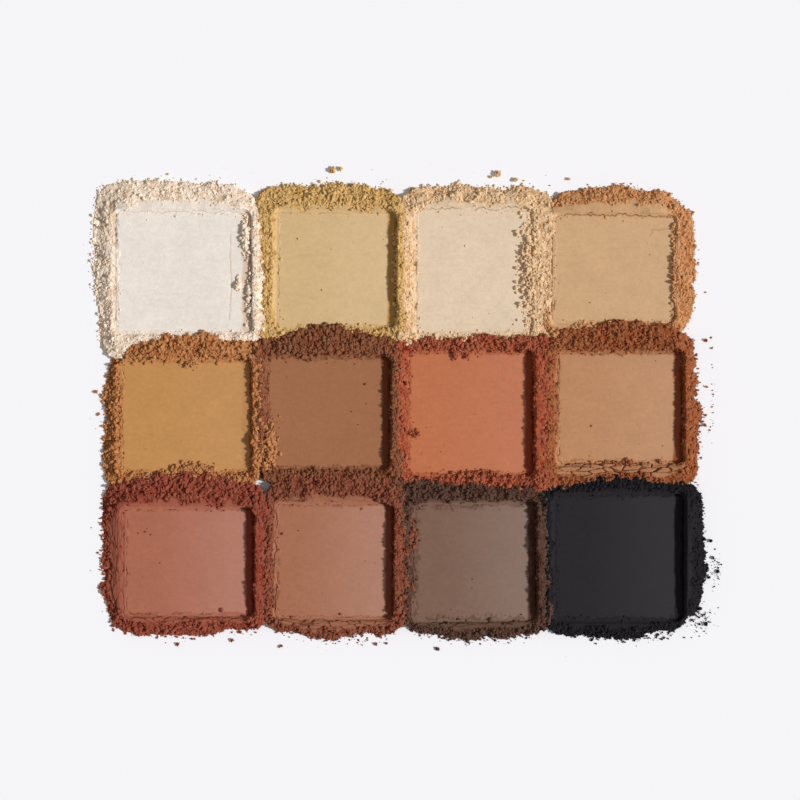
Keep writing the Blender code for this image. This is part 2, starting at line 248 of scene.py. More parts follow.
def grains(points, size, seed):
    """Each point's distance to its nearest and next grain centre, and the nearest grain's number."""
    scaled = points / size + CELL_OFFSET
    base = np.floor(scaled).astype(np.int64)
    first = np.full(len(points), FAR_OFF)
    second = np.full(len(points), FAR_OFF)
    chosen = np.zeros(len(points))
    for dx in (-1, 0, 1):
        for dy in (-1, 0, 1):
            for dz in (-1, 0, 1):
                cell = base + (dx, dy, dz)
                random = hashed(cell, seed)
                away = np.sqrt((((cell + random) - scaled) ** 2).sum(axis=1))
                nearer = away < first
                second = np.where(nearer, first, np.minimum(second, away))
                number = (random[:, 0] * GRAIN_MIX[0] + random[:, 1] * GRAIN_MIX[1]) % 1.0
                chosen = np.where(nearer, number, chosen)
                first = np.where(nearer, away, first)
    return first, second, chosen


def smooth_noise(points, size, seed):
    """Smooth noise from -1 to 1."""
    scaled = points / size + CELL_OFFSET
    base = np.floor(scaled).astype(np.int64)
    share = scaled - base
    share = share * share * (3.0 - 2.0 * share)
    total = np.zeros(len(points))
    for dx in (0, 1):
        for dy in (0, 1):
            for dz in (0, 1):
                weight = np.abs(1 - dx - share[:, 0])
                weight = weight * np.abs(1 - dy - share[:, 1]) * np.abs(1 - dz - share[:, 2])
                total += weight * hashed(base + (dx, dy, dz), seed)[:, 0]
    return 2.0 * total - 1.0


def wave(points, height, size, seed):
    """Smooth noise as high as the height given."""
    return height * smooth_noise(points, size, seed)


def warp(points, size, seeds):
    """Smooth noise along as many axes as there are seeds."""
    return np.stack([smooth_noise(points, size, seed) for seed in seeds], axis=1)


def ramp(value, start, end):
    """0 up to start, 1 from end, and a soft slope between them."""
    share = np.clip((value - start) / (end - start), 0.0, 1.0)
    return share * share * (3.0 - 2.0 * share)


# -------------------------------- reading the frame

def cad_tree(name):
    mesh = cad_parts[name].data
    return BVHTree.FromPolygons([v.co for v in mesh.vertices], [p.vertices for p in mesh.polygons])


def node_box(node):
    low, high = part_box(node)
    return np.array(low), np.array(high)


def from_cake(shade, s, t):
    """The place in plan that lies s and t half cakes from the middle of a shade's cake."""
    low, high = node_box(f"{shade}_cake")
    return (low[:2] + high[:2]) / 2.0 + (high[:2] - low[:2]) / 2.0 * np.array((s, t))


def shared_sides(name):
    """1 for each side on which another shade lies, and 0 for the others."""
    row = next(i for i, names in enumerate(ROWS) if name in names)
    column = ROWS[row].index(name)
    return np.array([column < len(ROWS[0]) - 1, row > 0, column > 0, row < len(ROWS) - 1], float)


# -------------------------------- meshes

def mesh_object(name, points, faces, **layers):
    """A mesh of triangles or quads with named values at each point."""
    mesh = bpy.data.meshes.new(name)
    mesh.vertices.add(len(points))
    mesh.vertices.foreach_set("co", np.ascontiguousarray(points, np.float32).ravel())
    sides = faces.shape[1]
    mesh.loops.add(faces.size)
    mesh.loops.foreach_set("vertex_index", np.ascontiguousarray(faces, np.int32).ravel())
    mesh.polygons.add(len(faces))
    mesh.polygons.foreach_set("loop_start", np.arange(0, faces.size, sides, dtype=np.int32))
    mesh.update(calc_edges=True)
    mesh.validate()
    mesh.shade_smooth()
    for label, values in layers.items():
        layer = mesh.attributes.new(label, "FLOAT", "POINT")
        layer.data.foreach_set("value", np.ascontiguousarray(values, np.float32))
    flat_uv(mesh)
    thing = bpy.data.objects.new(name, mesh)
    bpy.context.scene.collection.objects.link(thing)
    return thing


def flat_uv(mesh):
    """A texture layout seen from above, so that a bake needs no unwrapping."""
    points = np.empty(len(mesh.vertices) * 3, np.float32)
    mesh.vertices.foreach_get("co", points)
    points = points.reshape(-1, 3)
    low = points.min(axis=0)
    span = (points.max(axis=0) - low).max()
    plan = (points[:, :2] - low[:2]) / span * 0.98 + 0.01
    layer = mesh.uv_layers.new(name="OFBake")
    corner = np.empty(len(mesh.loops), np.int32)
    mesh.loops.foreach_get("vertex_index", corner)
    layer.data.foreach_set("uv", plan[corner].ravel())


# -------------------------------- rims

# Probing the CAD rim: how far the rays fan out at its corners, and where they start
FAN = 5.0 * MM
PROBE_HEIGHT = 0.04 * MM
PROBE_SKIP_MM = 0.05
PROBE_FROM_ABOVE = 10.0 * MM

# Where a section is read, as shares of the rim's width: closer together at the inner wall
WALL_SHARES = np.linspace(0.003, 0.3, 14)
SLOPE_SHARES = np.linspace(0.34, 0.96, 14)
FOOT_SHARE = 0.97

# The thin apron of powder that runs from the rim in over the face
PANEL_TOP = 1.1 * MM
APRON = 0.7 * MM
APRON_DIP = 0.2 * MM
APRON_TOP = PANEL_TOP + 0.07 * MM
SHORTEST_APRON = 0.45
LONGEST_APRON = 2.0
INNER_RISE = 0.9 * MM

# How far a rim runs over its neighbours on each side, and how it sinks onto them
OVERLAP = (0.45 * MM, 0.0, 0.45 * MM, 0.3 * MM)
OVERLAP_UNEVENNESS = 0.6
CORNER_OVERLAP = 0.9 * MM
OVERLAP_SAG = 0.12 * MM
OVERLAP_DROP = 0.95 * MM
SAG_SHARE = 0.8
LEAST_OVERLAP = 0.1 * MM
OPEN_CORNER_CUT = 0.6

# The outline on the outside of the layout
OUTLINE_SWAY = 0.36 * MM
SQUARER_CORNER = 0.7 * MM
NOTCH_FILL = 0.55 * MM

# Heights
CAD_FOOT = 0.5 * MM
KNEE = CAD_BOX[1][2] - 0.5 * MM
HEADROOM = 0.55 * MM
WALL_RAISED = 0.34 * MM
WALL_FADE = (0.8 * MM, 2.0 * MM)
LEE_LOWERED = 0.55
LEE_FROM = 0.4

# How soon from the face the wall, the wear and the flakes set in, and where the outline's sway does
EDGE_EASE = 0.3 * MM
BEFORE_EDGE = -0.1 * MM
SWAY_FROM = 0.3

# Sizes and seeds of the noise that makes the outlines, overlaps and aprons uneven
OUTLINE_NOISE = ((2.6 * MM, 77), (1.0 * MM, 78))
OVERLAP_NOISE = (1.3 * MM, 79)
APRON_NOISE = (1.1 * MM, 80)
NARROW_SWAY = 0.6
APRON_UNEVENNESS = 1.1


def stations(name):
    """Places round the cake's box with the direction in which the rim is crossed there."""
    low, high = node_box(f"{name}_cake")
    centre = (low + high) / 2.0
    half = (high - low) / 2.0
    corners = [(1, -1), (1, 1), (-1, 1), (-1, -1)]
    places = []
    directions = []
    for (ax, ay), (bx, by) in zip(corners, corners[1:] + corners[:1]):
        start = np.array([ax * half[0], ay * half[1]])
        end = np.array([bx * half[0], by * half[1]])
        length = np.linalg.norm(end - start)
        count = int(length / RING_STEP)
        for step in range(count):
            point = start + (end - start) * step / count
            anchor = np.clip(point, -(half[:2] - FAN), half[:2] - FAN)
            away = point - anchor
            places.append(centre[:2] + anchor)
            directions.append(away / np.linalg.norm(away))
    return np.array(places), np.array(directions)


def outlines(tree, places, directions):
    """Where each direction enters and leaves the rim, just above the surface it lies on."""
    inner = np.empty_like(places)
    outer = np.empty_like(places)
    for i, (place, direction) in enumerate(zip(places, directions)):
        ray = Vector((direction[0], direction[1], 0.0))
        start = Vector((place[0], place[1], PROBE_HEIGHT))
        hit = tree.ray_cast(start, ray)[0]
        inner[i] = hit.xy
        outer[i] = tree.ray_cast(hit + ray * PROBE_SKIP_MM * MM, ray)[0].xy
    return inner, outer


def section_heights(tree, inner, outer, shares):
    heights = np.empty((len(inner), len(shares)))
    down = Vector((0.0, 0.0, -1.0))
    for i, (a, b) in enumerate(zip(inner, outer)):
        for j, share in enumerate(shares):
            x, y = a + (b - a) * share
            hit = tree.ray_cast(Vector((x, y, PROBE_FROM_ABOVE)), down)[0]
            heights[i, j] = hit.z if hit else 0.0
    return heights


class RimGrid(NamedTuple):
    """A rim's surface as a grid, round it and then across it.

    sides holds how much each station belongs to each side, along is how far round it lies, and
    across is each point's distance outward from the rim's inner outline.
    """

    points: np.ndarray
    sides: np.ndarray
    along: np.ndarray
    across: np.ndarray
    width: np.ndarray
    inner: np.ndarray
    outward: np.ndarray


def corner_share(sides, side):
    """How much each station belongs to the corner between a side and the next."""
    return 4.0 * sides[:, side] * sides[:, (side + 1) % 4]


def overlaps(name, sides, noise):
    """How far the rim runs over its neighbours at each station."""
    shared = shared_sides(name)
    reach = np.array(OVERLAP) + (SHADES[name].beside, SHADES[name].over, 0.0, 0.0)
    beyond = sides @ (reach * shared)
    for side in range(4):
        corner = corner_share(sides, side) * shared[side] * shared[(side + 1) % 4]
        further = CORNER_OVERLAP
        if OPEN_CORNER.get(name) == side:
            further = -OPEN_CORNER_CUT * reach.max()
        beyond += further * corner
    return np.maximum(beyond, 0.0) * (1.0 + OVERLAP_UNEVENNESS * noise)


def sway(name, sides, noise):
    """How far the free part of the outer outline moves out at each station."""
    free = 1.0 - shared_sides(name)
    out = OUTLINE_SWAY * noise * (sides @ free)
    for side in range(4):
        after = (side + 1) % 4
        corner = corner_share(sides, side)
        out += SQUARER_CORNER * corner * free[side] * free[after]
        out += NOTCH_FILL * corner * abs(free[side] - free[after])
    return out


def capped(height):
    """Height bent over softly so that nothing stands above the CAD's highest point."""
    over = np.maximum(height - KNEE, 0.0)
    return np.where(height > KNEE, KNEE + HEADROOM * np.tanh(over / HEADROOM), height)


def settled(name, heights, across, width, sides):
    """The CAD rim's heights, eased down to the face, lowered where worn and steeper at the +X wall."""
    wall = sides[:, :1] * SHADES[name].steep
    rise = ramp(across, BEFORE_EDGE, INNER_RISE)
    rise = rise + (1.0 - rise) * wall
    eased = APRON_TOP + (heights - APRON_TOP) * rise
    eased += WALL_RAISED * wall * ramp(across, 0.0, EDGE_EASE) * (1.0 - ramp(across, *WALL_FADE))
    worn = (sides @ np.array(SHADES[name].worn))[:, None] * ramp(across, 0.0, EDGE_EASE)
    low = np.minimum(eased, CAD_FOOT)
    eased = low + (eased - low) * (1.0 - worn * (eased > CAD_FOOT))
    lee = sides[:, 2:3] * (1.0 - shared_sides(name)[2])
    return eased * (1.0 - LEE_LOWERED * lee * ramp(across / width, LEE_FROM, 1.0))


def section(apron, width, beyond, shares, heights):
    """One section of a rim at even steps: how far out each step lies, and how high."""
    foot = heights[-1]
    ends = [FOOT_SHARE * width, width + SAG_SHARE * beyond, width + beyond]
    lows = [foot, foot - OVERLAP_SAG, foot - OVERLAP_DROP]
    if beyond < LEAST_OVERLAP:
        ends = [FOOT_SHARE * width, width]
        lows = [foot, 0.0]
    run_out = np.concatenate([[-apron, -0.5 * apron - 1e-6], shares * width, ends])
    height = np.concatenate([[PANEL_TOP - APRON_DIP, APRON_TOP], heights, lows])
    length = np.concatenate([[0.0], np.cumsum(np.hypot(np.diff(run_out), np.diff(height)))])
    at = np.linspace(0.0, length[-1], SECTION_STEPS)
    return np.interp(at, length, run_out), np.interp(at, length, height)


def rim_grid(name):
    """The rim's surface resampled from the CAD rim, from the cake's face out over its neighbours."""
    tree = cad_tree(f"{name}_rim")
    places, directions = stations(name)
    sides = np.clip(directions @ SIDES.T, 0.0, None) ** 2
    inner, outer = outlines(tree, places, directions)
    places = np.concatenate([inner, np.zeros((len(inner), 1))], axis=1)
    broad, narrow = (smooth_noise(places, *noise) for noise in OUTLINE_NOISE)
    shares = np.concatenate([WALL_SHARES, SLOPE_SHARES])
    width = np.linalg.norm(outer - inner, axis=1)
    heights = section_heights(tree, inner, outer, shares)
    heights = settled(name, heights, shares[None] * width[:, None], width[:, None], sides)
    beyond = overlaps(name, sides, smooth_noise(places, *OVERLAP_NOISE))
    wider = 1.0 + sway(name, sides, broad + NARROW_SWAY * narrow) / width
    uneven = 1.0 + APRON_UNEVENNESS * smooth_noise(places, *APRON_NOISE)
    uneven = np.clip(uneven, SHORTEST_APRON, LONGEST_APRON)
    aprons = APRON * (1.0 - sides[:, 0] * SHADES[name].steep) * uneven
    points = np.empty((len(inner), SECTION_STEPS, 3))
    across = np.empty((len(inner), SECTION_STEPS))
    for i, apron in enumerate(aprons):
        across[i], points[i, :, 2] = section(apron, width[i], beyond[i], shares, heights[i])
        swayed = (wider[i] - 1.0) * ramp(across[i] / width[i], SWAY_FROM, 1.0)
        stretched = across[i] * (1.0 + swayed)
        points[i, :, :2] = inner[i] + directions[i] * stretched[:, None]
    along = np.concatenate([[0.0], np.cumsum(np.linalg.norm(np.diff(inner, axis=0), axis=1))])
    return RimGrid(points, sides, along, across, width, inner, directions)


def grid_normals(points):
    round_it = np.roll(points, -1, axis=0) - np.roll(points, 1, axis=0)
    normals = np.cross(np.gradient(points, axis=1), round_it)
    normals /= np.linalg.norm(normals, axis=2, keepdims=True) + 1e-12
    for _ in range(5):
        padded = np.concatenate([normals[:, :1], normals, normals[:, -1:]], axis=1)
        normals = (padded[:, :-2] + 2.0 * padded[:, 1:-1] + padded[:, 2:]) / 4.0
        normals = (np.roll(normals, 1, axis=0) + 2.0 * normals + np.roll(normals, -1, axis=0)) / 4.0
    return normals / (np.linalg.norm(normals, axis=2, keepdims=True) + 1e-12)


# Broken powder: the sizes of its clumps, clods and grains, and how far and how finely they are bent
CLUMP_SIZE = 1.4 * MM
CLOD_SIZE = 0.74 * MM
GRAIN_SIZE = 0.38 * MM
CLOD_WARP = 0.2 * MM
CLOD_WARP_SIZE = 0.5 * MM
CLOD_GAP = 0.28
CLOD_STEP = 0.7
CLOD_CROWN = 0.5
GAP_DEPTH = 0.45

# Heights in mm: of broken powder on average, and what its clumps, clods and grains add
MEAN_RELIEF = 0.1
CLUMP_RELIEF = 0.2
CLOD_RELIEF = 0.34
GRAIN_RELIEF = 0.16

# Flaked powder that was pressed smooth
FLAKE_LENGTH = 2.8 * MM
FLAKE_WIDTH = 0.7 * MM
FLAKE_BEND = 0.35
FLAKE_BEND_SIZE = 1.2
FLAKE_GAP = 0.16
FLAKE_LIFT = 0.14 * MM
CREASE_DEPTH = 0.12 * MM

# The crack between the pressed face and its rim
CRACK_WAVE = 1.5 * MM
CRACK_AT = 0.15 * MM
CRACK_MIDDLE = 0.02 * MM
CRACK_HALF_WIDTH = 0.13 * MM
CRACK_DEPTH = 0.3 * MM
CRACK_WANDER = (0.3, 1.6)
CRACK_JITTER = (0.14, 0.3)
CRACK_GAPS = 1.5

# Heights and sizes of the rim's slow swells and of its fine unevenness
SWELL = (0.22 * MM, 1.9 * MM)
FINE_RELIEF = (0.03 * MM, 0.4 * MM)
LEAST_SWELL = 0.35

# How unevenly, in shares of the rim's width, its smooth part ends
RAGGED_BROAD = (0.2, 1.7 * MM)
RAGGED_FINE = (0.08, 0.6 * MM)
LEAST_SMOOTH = 0.02


def bumps(points, size, seed):
    """Rounded clods from about -0.5 to 0.5 with cracks between them, and each clod's random number."""
    first, second, clod = grains(points, size, seed)
    top = CLOD_STEP * (clod - 0.5) + CLOD_CROWN * (0.5 - first)
    return top - GAP_DEPTH * (1.0 - ramp(second - first, 0.0, CLOD_GAP)), clod


def crumbly(points, seed):
    """Relief of broken powder, and each clod's random number."""
    warped = points + CLOD_WARP * warp(points, CLOD_WARP_SIZE, (seed + 1, seed + 2, seed + 3))
    large, _ = bumps(warped, CLUMP_SIZE, seed + 4)
    middle, clod = bumps(warped, CLOD_SIZE, seed + 5)
    small, grain = bumps(warped, GRAIN_SIZE, seed + 6)
    relief = MEAN_RELIEF + CLUMP_RELIEF * large + CLOD_RELIEF * middle + GRAIN_RELIEF * small
    return MM * relief, (clod + grain) / 2.0


def flakes(grid, seed):
    """Long thin flakes that lie along the rim: 1 on the cracks between them, and how each is lifted."""
    along = np.repeat(grid.along[:, None], grid.across.shape[1], axis=1)
    scaled = (along / FLAKE_LENGTH, grid.across / FLAKE_WIDTH, 0.0 * along)
    plan = np.stack(scaled, axis=2).reshape(-1, 3)
    plan[:, :2] += FLAKE_BEND * warp(plan, FLAKE_BEND_SIZE, (seed + 1, seed + 2))
    first, second, which = grains(plan, 1.0, seed)
    crack = 1.0 - ramp(second - first, 0.0, FLAKE_GAP)
    lift = which - 0.5 + 0.5 * (plan[:, 1] % 1.0)
    return crack.reshape(grid.across.shape), lift.reshape(grid.across.shape)


def edge_crack(grid, cracked, seed):
    """1 on the crack where the pressed face meets its rim."""
    places = np.zeros((len(grid.along), 3))
    places[:, 0] = grid.along / CRACK_WAVE
    wander = wave(places, *CRACK_WANDER, seed) + wave(places, *CRACK_JITTER, seed + 2)
    centre = CRACK_AT + MM * wander
    strength = cracked * ramp(smooth_noise(places, CRACK_GAPS, seed + 1), -0.5, 0.1)
    away = np.abs(grid.across - centre[:, None])
    return strength[:, None] * (1.0 - ramp(away, CRACK_MIDDLE, CRACK_HALF_WIDTH))


def pressed_smooth(name, grid, flat, seed):
    """1 where the rim is broken powder and 0 where the press left it smooth."""
    shape = grid.across.shape
    limit = (grid.sides @ np.array(SHADES[name].smooth))[:, None]
    ragged = wave(flat, *RAGGED_BROAD, seed) + wave(flat, *RAGGED_FINE, seed + 1)
    share = grid.across / grid.width[:, None] + ragged.reshape(shape) * (limit > LEAST_SMOOTH)
    rough = ramp(share, limit - 0.06, limit + 0.12)
    edge = 1.0 - ramp(grid.across + 2.0 * MM * ragged.reshape(shape), -0.3 * MM, 0.6 * MM)
    return np.where(limit > LEAST_SMOOTH, rough, 1.0) * (1.0 - 0.6 * edge)


def make_rim(name, seed):
    """The rim with its relief. Returns the piece, its grid, moved points, normals and roughness."""
    shade = SHADES[name]
    grid = rim_grid(name)
    normals = grid_normals(grid.points)
    flat = grid.points.reshape(-1, 3)
    shape = grid.points.shape[:2]
    relief, tone = crumbly(flat, seed)
    relief = shade.relief * relief.reshape(shape)
    swell = wave(flat, *SWELL, seed + 7).reshape(shape)
    rough = pressed_smooth(name, grid, flat, seed + 8)
    flaked = (grid.sides @ np.array(shade.creased))[:, None] * (1.0 - rough)
    flaked *= ramp(grid.across, 0.0, EDGE_EASE)
    crease, lift = flakes(grid, seed + 10)
    crease *= np.minimum(flaked, 1.0)
    crack = edge_crack(grid, grid.sides @ np.array(shade.cracked), seed + 11)
    fine = wave(flat, *FINE_RELIEF, seed + 12).reshape(shape)
    swell_share = LEAST_SWELL + (1.0 - LEAST_SWELL) * rough
    height = rough * relief + swell_share * swell + (1.0 - rough) * fine
    height += FLAKE_LIFT * flaked * lift - CREASE_DEPTH * crease * np.maximum(flaked, 1.0)
    height -= CRACK_DEPTH * crack
    fade = np.ones(shape[1])
    fade[:2] = (0.0, 0.6)
    fade[-2:] = (0.8, 0.6)
    moved = grid.points + normals * (height * fade)[..., None]
    moved[..., 2] = capped(np.maximum(moved[..., 2], 0.01 * MM))
    # Painted shade: the hollows of the broken powder, its creases and its cracks take a darker,
    # stronger colour
    gap = rough * ramp(-relief / shade.relief, -0.05 * MM, 0.24 * MM)
    gap = np.clip(gap + 0.7 * crease + 0.4 * crack, 0.0, 1.0)
    tone = 0.5 + (tone.reshape(shape) - 0.5) * (0.25 + 0.75 * rough)
    joined = 1.0 - ramp(grid.across, BEFORE_EDGE, 0.5 * MM)
    face = (shade.burnished + (1.0 - shade.burnished) * joined) * (1.0 - rough) * (1.0 - gap)
    face *= 1.0 - grid.sides[:, :1] * (shade.smooth[0] < LEAST_SMOOTH)
    # Painted shade that darkens cracks and creases further
    shut = np.maximum(crack, 0.6 * crease)
    rim = ring_object(f"{name}_crumbled_rim", moved, tone=tone, gap=gap, face=face, shut=shut)
    return rim, grid, moved, normals, rough


def ring_object(name, points, **layers):
    """A closed ring from a grid of points whose first dimension runs round."""
    count, steps = points.shape[:2]
    index = np.arange(count * steps).reshape(count, steps)
    following = np.roll(index, -1, axis=0)
    quads = np.stack([index[:, :-1], following[:, :-1], following[:, 1:], index[:, 1:]], axis=2)
    closing = np.stack([index[:, -1], following[:, -1], following[:, 0], index[:, 0]], axis=1)
    faces = np.concatenate([quads.reshape(-1, 4), closing])[:, ::-1]
    flat = {label: values.ravel() for label, values in layers.items()}
    return mesh_object(name, points.reshape(-1, 3), faces, **flat)


# -------------------------------- crumbs

SMALLEST_CRUMB = 0.13 * MM
LARGEST_CRUMB = 0.85 * MM
FINE_ROCK_FROM = 0.65 * MM
CRUMB_SPREAD = 0.5
ON_RIM_PATCHES = 1.6 * MM
ON_FACE_MEDIAN = 0.19 * MM
ON_GROUND_MEDIAN = 0.22 * MM

# How many crumbs have fallen off each rim, and how far they lie from it on average
DUST_ON_FACE = (130, 0.3 * MM)
STRAYS_ON_FACE = (7, 4.0 * MM)
DUST_ON_GROUND = (240, 0.22 * MM)
STRAYS_ON_GROUND = (10, 1.0 * MM)

# A rock's length, width and height before it is turned
ROCK_SIZE = np.array([1.15, 0.95, 0.75])

# How high a spill is heaped, and how large the grains of a loose clod are
SPILL_HEIGHT = 0.7 * MM
CLOD_GRAINS = 0.32 * MM


def rock(subdivisions, seed):
    """One angular crumb about 1 across: its points and its triangles."""
    mesh = bpy.data.meshes.new("rock")
    work = bmesh.new()
    bmesh.ops.create_icosphere(work, subdivisions=subdivisions, radius=0.5)
    work.to_mesh(mesh)
    work.free()
    points = np.array([v.co for v in mesh.vertices])
    faces = np.array([p.vertices for p in mesh.polygons])
    bpy.data.meshes.remove(mesh)
    rng = np.random.default_rng(seed)
    stretch = ROCK_SIZE * rng.uniform(0.85, 1.15, 3)
    swell = 1.0 + 0.3 * smooth_noise(points * 10.0, 3.5, seed) + rng.uniform(-0.14, 0.14, len(points))
    return points * stretch * swell[:, None], faces


COARSE_ROCKS = [rock(1, 10 + kind) for kind in range(8)]
FINE_ROCKS = [rock(2, 30 + kind) for kind in range(6)]


def random_turns(rng, count):
    """Evenly random rotation matrices."""
    q = rng.normal(size=(count, 4))
    q /= np.linalg.norm(q, axis=1, keepdims=True)
    w, x, y, z = q.T
    rows = [
        1 - 2 * (y * y + z * z), 2 * (x * y - z * w), 2 * (x * z + y * w),
        2 * (x * y + z * w), 1 - 2 * (x * x + z * z), 2 * (y * z - x * w),
        2 * (x * z - y * w), 2 * (y * z + x * w), 1 - 2 * (x * x + y * y),
    ]
    return np.stack(rows, axis=1).reshape(count, 3, 3)


def heap(name, centres, sizes, seed):
    """Many crumbs as one mesh, with painted shade on their undersides."""
    rng = np.random.default_rng(seed)
    turns = random_turns(rng, len(centres))
    tones = rng.uniform(0.0, 1.0, len(centres))
    kinds = rng.integers(0, len(COARSE_ROCKS) * len(FINE_ROCKS), len(centres))
    points = []
    faces = []
    tone = []
    gap = []
    filled = 0
    for small, rocks in ((True, COARSE_ROCKS), (False, FINE_ROCKS)):
        for kind, (shape, triangles) in enumerate(rocks):
            chosen = np.flatnonzero((kinds % len(rocks) == kind) & ((sizes < FINE_ROCK_FROM) == small))
            if not len(chosen):
                continue
            turned = np.einsum("nij,vj->nvi", turns[chosen], shape)
            placed = turned * sizes[chosen, None, None] + centres[chosen, None, :]
            placed[..., 2] = capped(np.maximum(placed[..., 2], 0.0))
            starts = filled + len(shape) * np.arange(len(chosen))
            points.append(placed.reshape(-1, 3))
            faces.append((triangles[None] + starts[:, None, None]).reshape(-1, 3))
            tone.append(np.repeat(tones[chosen], len(shape)))
            # Painted shade under each crumb
            gap.append(1.0 - ramp(turned[..., 2].ravel(), -0.35, 0.1))
            filled += len(shape) * len(chosen)
    layers = {"tone": np.concatenate(tone), "gap": np.concatenate(gap)}
    return mesh_object(name, np.concatenate(points), np.concatenate(faces), **layers)


def crumb_sizes(rng, count, median):
    sizes = median * np.exp(CRUMB_SPREAD * rng.normal(size=count))
    return np.clip(sizes, SMALLEST_CRUMB, LARGEST_CRUMB)


def cell_areas(points):
    round_it = np.roll(points, -1, axis=0) - points
    return np.linalg.norm(np.cross(round_it, np.gradient(points, axis=1)), axis=2)


def on_rim(points, normals, rough, relief, seed):
    """Crumbs half sunk into the broken part of the rim."""
    rng = np.random.default_rng(seed)
    weights = cell_areas(points) * (0.03 + 0.97 * rough**2)
    weights[:, :2] *= 0.5
    patches = smooth_noise(points.reshape(-1, 3), ON_RIM_PATCHES, seed)
    chances = weights.ravel() * (0.45 + 0.55 * ramp(patches, -0.3, 0.4))
    chosen = rng.choice(len(chances), CRUMBS_PER_RIM, p=chances / chances.sum())
    sizes = crumb_sizes(rng, CRUMBS_PER_RIM, (0.16 + 0.16 * relief) * MM)
    sunk = rng.uniform(0.2 * relief - 0.3, 0.2 * relief, CRUMBS_PER_RIM)
    lift = normals.reshape(-1, 3)[chosen] * (sizes * sunk)[:, None]
    return points.reshape(-1, 3)[chosen] + lift, sizes


def fallen_in(name, grid, seed, count, reach):
    """Crumbs on the cake's face, near the rim."""
    rng = np.random.default_rng(seed)
    low, high = node_box(f"{name}_cake")
    chosen = rng.integers(0, len(grid.inner), count)
    plan = grid.inner[chosen] - grid.outward[chosen] * rng.exponential(reach, count)[:, None]
    inside = ((plan > low[:2]) & (plan < high[:2])).all(axis=1)
    sizes = crumb_sizes(rng, count, ON_FACE_MEDIAN)
    centres = np.concatenate([plan, (PANEL_TOP + 0.12 * sizes)[:, None]], axis=1)
    return centres[inside], sizes[inside]


def fallen_out(points, seed, count, reach):
    """Crumbs on the ground beside the rim."""
    rng = np.random.default_rng(seed)
    free = np.flatnonzero(points[:, -1, 2] < 0.2 * MM)
    if not len(free):
        return np.empty((0, 3)), np.empty(0)
    chosen = rng.choice(free, count)
    outward = points[chosen, -1, :2] - points[chosen, -8, :2]
    outward /= np.linalg.norm(outward, axis=1, keepdims=True) + 1e-9
    away = rng.exponential(reach, count)
    plan = points[chosen, -1, :2] + outward * away[:, None]
    sizes = crumb_sizes(rng, count, ON_GROUND_MEDIAN) * np.clip(1.1 - away / (6.0 * MM), 0.4, 1.0)
    return np.concatenate([plan, (0.2 * sizes)[:, None]], axis=1), sizes


def spilled(spill, seed):
    """Crumbs heaped towards the middle of a patch."""
    rng = np.random.default_rng(seed)
    offset = np.clip(rng.normal(size=(spill.count, 2)) * 0.5, -1.3, 1.3)
    plan = from_cake(spill.beside, *spill.at) + offset * np.array(spill.reach)
    sizes = crumb_sizes(rng, spill.count, spill.median)
    lift = np.clip(1.0 - np.hypot(*offset.T), 0.0, 1.0) * rng.uniform(0.0, 1.0, spill.count)
    base = PANEL_TOP + SPILL_HEIGHT * lift if spill.on_cake else 0.0
    return np.concatenate([plan, (base + 0.2 * sizes)[:, None]], axis=1), sizes


def merged(groups):
    return [np.concatenate(column) for column in zip(*groups)]


def make_crumbs(name, grid, points, normals, rough, seed):
    """The crumbs on a shade's rim, and those that have fallen off it."""
    relief = SHADES[name].relief
    resting = heap(f"{name}_rim_crumbs", *on_rim(points, normals, rough, relief, seed), seed + 5)
    groups = [
        fallen_in(name, grid, seed + 1, *DUST_ON_FACE),
        fallen_in(name, grid, seed + 2, *STRAYS_ON_FACE),
        fallen_out(points, seed + 3, *DUST_ON_GROUND),
        fallen_out(points, seed + 4, *STRAYS_ON_GROUND),
    ]
    for number, spill in enumerate(SPILLS):
        if spill.shade == name:
            groups.append(spilled(spill, seed + 50 + number))
    fallen = heap(f"{name}_fallen_crumbs", *merged(groups), seed + 6)
    return resting, fallen


def clod_shape(low, high, seed):
    """Points and faces of one cracked clod that fills a box, flat underneath."""
    mesh = bpy.data.meshes.new("clod")
    work = bmesh.new()
    bmesh.ops.create_icosphere(work, subdivisions=4, radius=1.0)
    work.to_mesh(mesh)
    work.free()
    unit = np.array([v.co for v in mesh.vertices])
    faces = np.array([p.vertices for p in mesh.polygons])
    bpy.data.meshes.remove(mesh)
    half = (high - low) / 2.0
    relief, tone = bumps(unit * half, CLOD_GRAINS, seed)
    lumps = 0.5 * smooth_noise(unit * half, 0.7 * half.max(), seed + 1)
    points = (low + high) / 2.0 + unit * half * (0.7 + 0.35 * relief + lumps)[:, None]
    points[:, 2] = np.maximum(points[:, 2], low[2])
    # Painted shade in the clod's hollows
    return points, faces, {"tone": tone, "gap": ramp(-relief, 0.05, 0.4)}


def make_clod(node, seed):
    shade = node.split("_")[0]
    low, high = node_box(node)
    points, faces, layers = clod_shape(low, high, seed)
    return mesh_object(f"{shade}_clod_{node.split('_')[-1]}", points, faces, **layers)


# -------------------------------- pressed faces

TUCK = 0.6 * MM
CAKE_BASE = 0.02 * MM
# How far in from the +X wall the face is painted with the colour of the wall's shadow
WALL_SHADOW_STRIP = 1.45 * MM
EDGE_DROP = 0.35 * MM

# Heights and sizes of the face's unevenness. Its streaks are stretched along the rows
FACE_SWELL = (0.02 * MM, 7.0 * MM)
FACE_WAVES = (0.008 * MM, 1.6 * MM)
FACE_STREAKS = (0.005 * MM, 0.5 * MM)
FACE_GRAIN = (0.006 * MM, 0.32 * MM)
STREAK_STRETCH = np.array((0.3, 1.3, 1.0))
RAGGED_EDGE = (0.28 * MM, 0.6 * MM)
WALL_SHADOW_WANDER = (0.2 * MM, 1.0 * MM)
BROAD_SPECKS = (0.6, 0.9 * MM)
FINE_SPECKS = (0.6, 0.36 * MM)

# Pits: how far apart they could be, which share of them is missing, and their radius and depth
PIT_SPACING = 1.7 * MM
PITS_MISSING = 0.8
PIT_RADIUS = 0.11
PIT_DEPTH = 0.08 * MM


